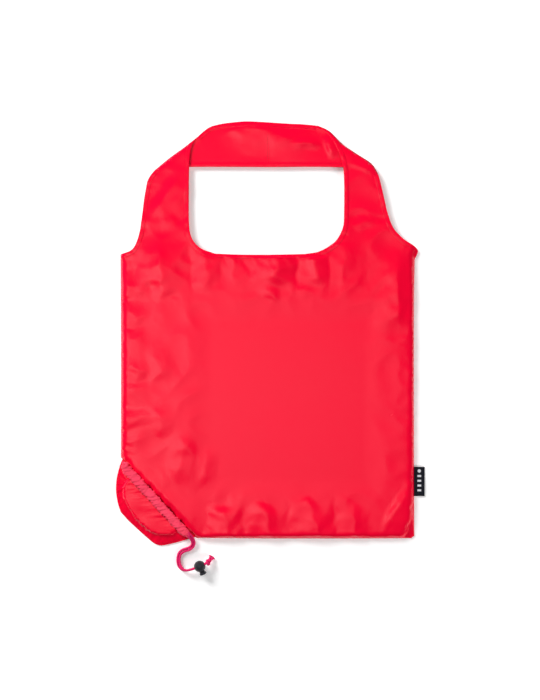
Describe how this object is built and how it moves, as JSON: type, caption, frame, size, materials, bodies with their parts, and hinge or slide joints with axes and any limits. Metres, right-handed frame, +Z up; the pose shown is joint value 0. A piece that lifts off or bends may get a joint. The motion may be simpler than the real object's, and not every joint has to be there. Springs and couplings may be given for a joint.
{
  "type": "foldable tote bag",
  "caption": "Flat-lying polyester tote bag with folded strap handles, a drawstring storage pouch in one lower corner, a ball cord lock and a side seam label.",
  "frame": {"origin": "middle of the body, half way up, on the underside of the back panel, which is the face the bag lies on", "axes": "+X to the bag's right seen from the front, +Y from the bottom seam towards the handles, +Z up out of the front panel"},
  "size_m": [0.4016, 0.5891, 0.015],
  "materials": {
    "polyester_cloth": "satin woven",
    "sewing_thread": "spun thread",
    "drawcord": "braided",
    "lock_plastic": "moulded satin",
    "label_tape": "woven satin tape",
    "spring_steel": "drawn wire"
  },
  "bodies": {
    "bag": {"front_panel": "polyester_cloth", "back_panel": "polyester_cloth", "side_label": "label_tape", "side_seam_left": "sewing_thread", "side_seam_right": "sewing_thread", "bottom_seam": "sewing_thread", "corner_seam": "sewing_thread", "neck_hem_front": "sewing_thread", "neck_hem_back": "sewing_thread", "arm_hem_front": "sewing_thread", "arm_hem_back": "sewing_thread", "label_stitch": "sewing_thread"},
    "front_handle": {"front_strap_left": "polyester_cloth", "front_strap_right": "polyester_cloth", "front_strap_hems": "sewing_thread", "front_join_seam": "sewing_thread"},
    "back_handle": {"back_strap_left": "polyester_cloth", "back_strap_right": "polyester_cloth", "back_strap_hems": "sewing_thread", "back_join_seam": "sewing_thread"},
    "pouch": {"pouch_front": "polyester_cloth", "pouch_back": "polyester_cloth", "cord_casing": "polyester_cloth", "pouch_seam": "sewing_thread", "casing_stitch": "sewing_thread", "casing_bar_tack": "sewing_thread", "cord_in_casing": "drawcord", "cord_strand_inner": "drawcord", "cord_strand_outer": "drawcord", "cord_knot": "drawcord", "cord_tails": "drawcord"},
    "cord_lock": {"lock_ball": "lock_plastic", "lock_spring": "spring_steel"},
    "lock_plunger": {"lock_plunger": "lock_plastic"}
  },
  "joints": [
    {"name": "front_handle_fold", "type": "hinge", "parent": "bag", "child": "front_handle", "pos_m": [0, 0.207, 0.0075], "axis": [1, 0, 0], "range_deg": [0, 170]},
    {"name": "back_handle_fold", "type": "hinge", "parent": "bag", "child": "back_handle", "pos_m": [0, 0.207, -0.0003], "axis": [1, 0, 0], "range_deg": [-170, 0]},
    {"name": "pouch_fold", "type": "hinge", "parent": "bag", "child": "pouch", "pos_m": [-0.19, -0.0725, -0.0003], "axis": [0.6809, -0.7324, 0], "range_deg": [0, 165]},
    {"name": "lock_slide", "type": "slide", "parent": "pouch", "child": "cord_lock", "axis": [-0.9063, -0.4226, 0], "range_m": [0, 0.004]},
    {"name": "plunger_press", "type": "slide", "parent": "cord_lock", "child": "lock_plunger", "axis": [-0.4226, 0.9063, 0], "range_m": [0, 0.0026], "stiffness_N_per_m": 300, "springref_m": -0.002, "deforming": ["lock_spring"]}
  ]
}
